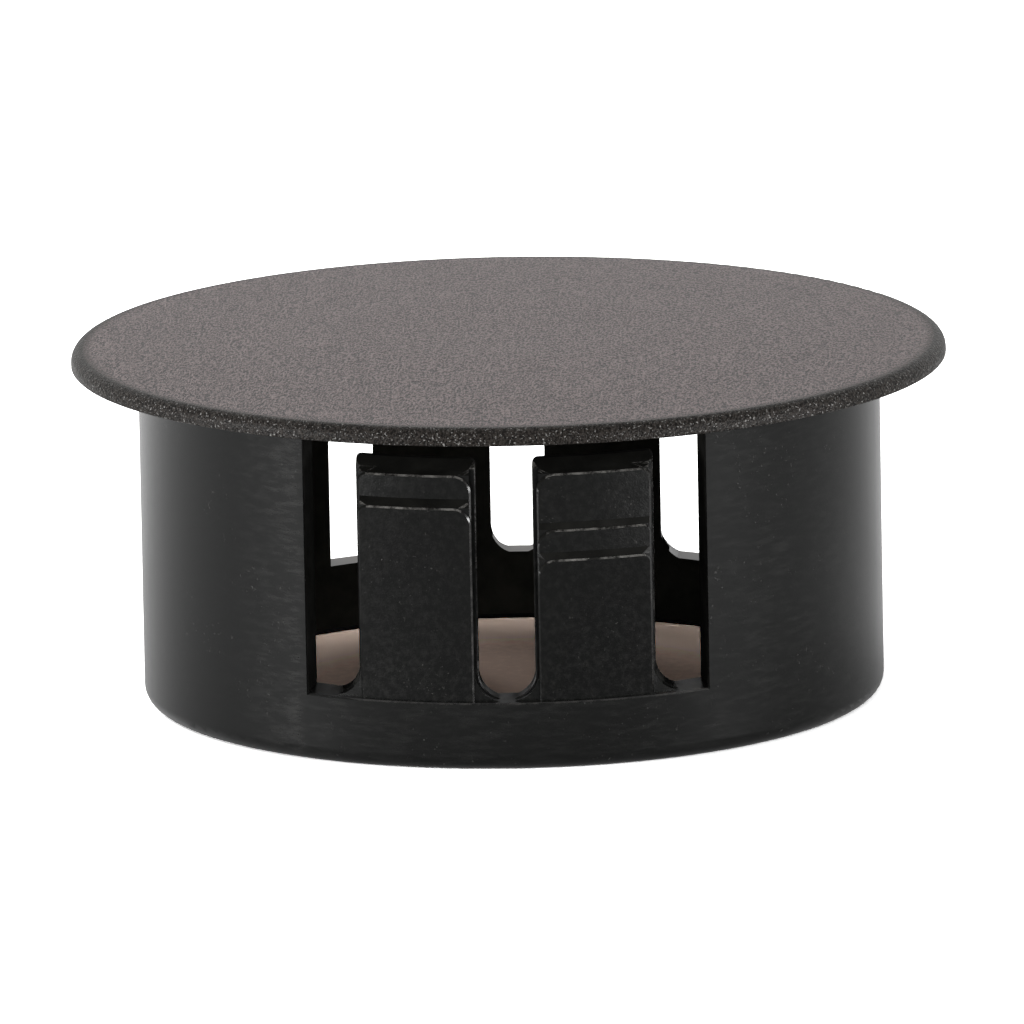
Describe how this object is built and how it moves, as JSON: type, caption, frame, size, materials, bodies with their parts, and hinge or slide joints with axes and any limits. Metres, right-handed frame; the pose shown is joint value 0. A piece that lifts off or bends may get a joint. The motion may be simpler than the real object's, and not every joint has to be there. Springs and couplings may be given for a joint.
{
  "type": "snap-in cover plug",
  "caption": "Snap-in cover plug: a low domed round head on a hollow skirt, whose windows hold spring fingers with stepped ledges that lock behind a panel hole.",
  "frame": {"origin": "on the plug's axis, in the plane of the open rim that it stands on", "axes": "+Z along the axis from the open rim to the head; the windows with the spring fingers are centred on -Y and +Y"},
  "size_m": [0.0295, 0.0294, 0.0125],
  "materials": {
    "nylon": "black, with a fine matt grain on the head and a satin skirt"
  },
  "bodies": {
    "root": {"cover_plug": "nylon"}
  },
  "joints": []
}
